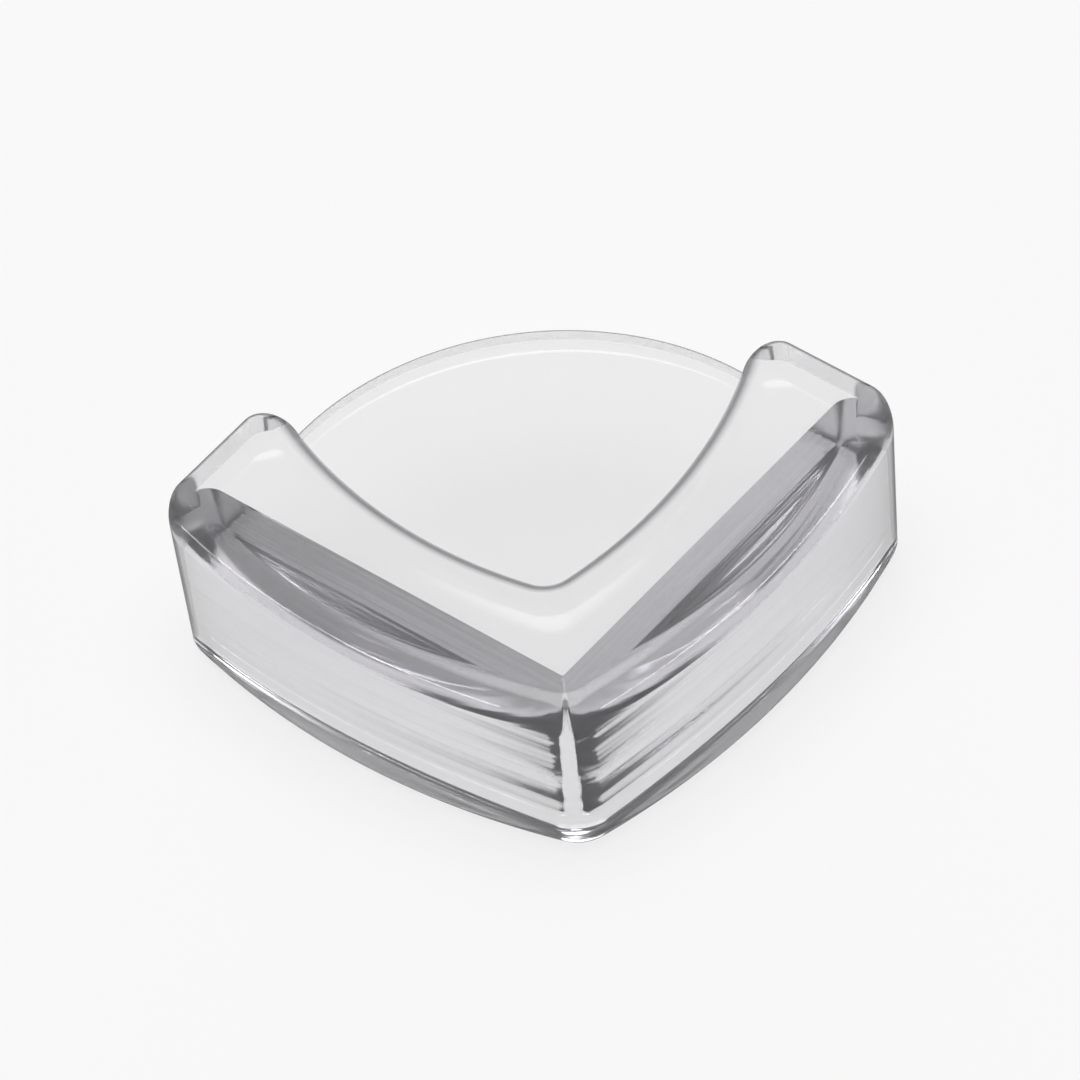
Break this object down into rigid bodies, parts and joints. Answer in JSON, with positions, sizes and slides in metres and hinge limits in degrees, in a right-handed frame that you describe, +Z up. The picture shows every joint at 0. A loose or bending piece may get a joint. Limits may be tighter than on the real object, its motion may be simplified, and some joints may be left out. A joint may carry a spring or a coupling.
{
  "type": "furniture corner protector",
  "caption": "Clear soft plastic corner protector: a bowed L-shaped wall with a thick top band and a thin rounded leaf that rests on the table top.",
  "frame": {"origin": "centre of the bounding box on the surface that the wall stands on", "axes": "+Z up, normal to the table top; the arms run along +X and +Y from the corner, and the outer corner points to -X -Y"},
  "size_m": [0.045, 0.045, 0.017],
  "materials": {
    "clear_plastic": "gloss, clear"
  },
  "bodies": {
    "root": {"corner_protector": "clear_plastic"}
  },
  "joints": []
}
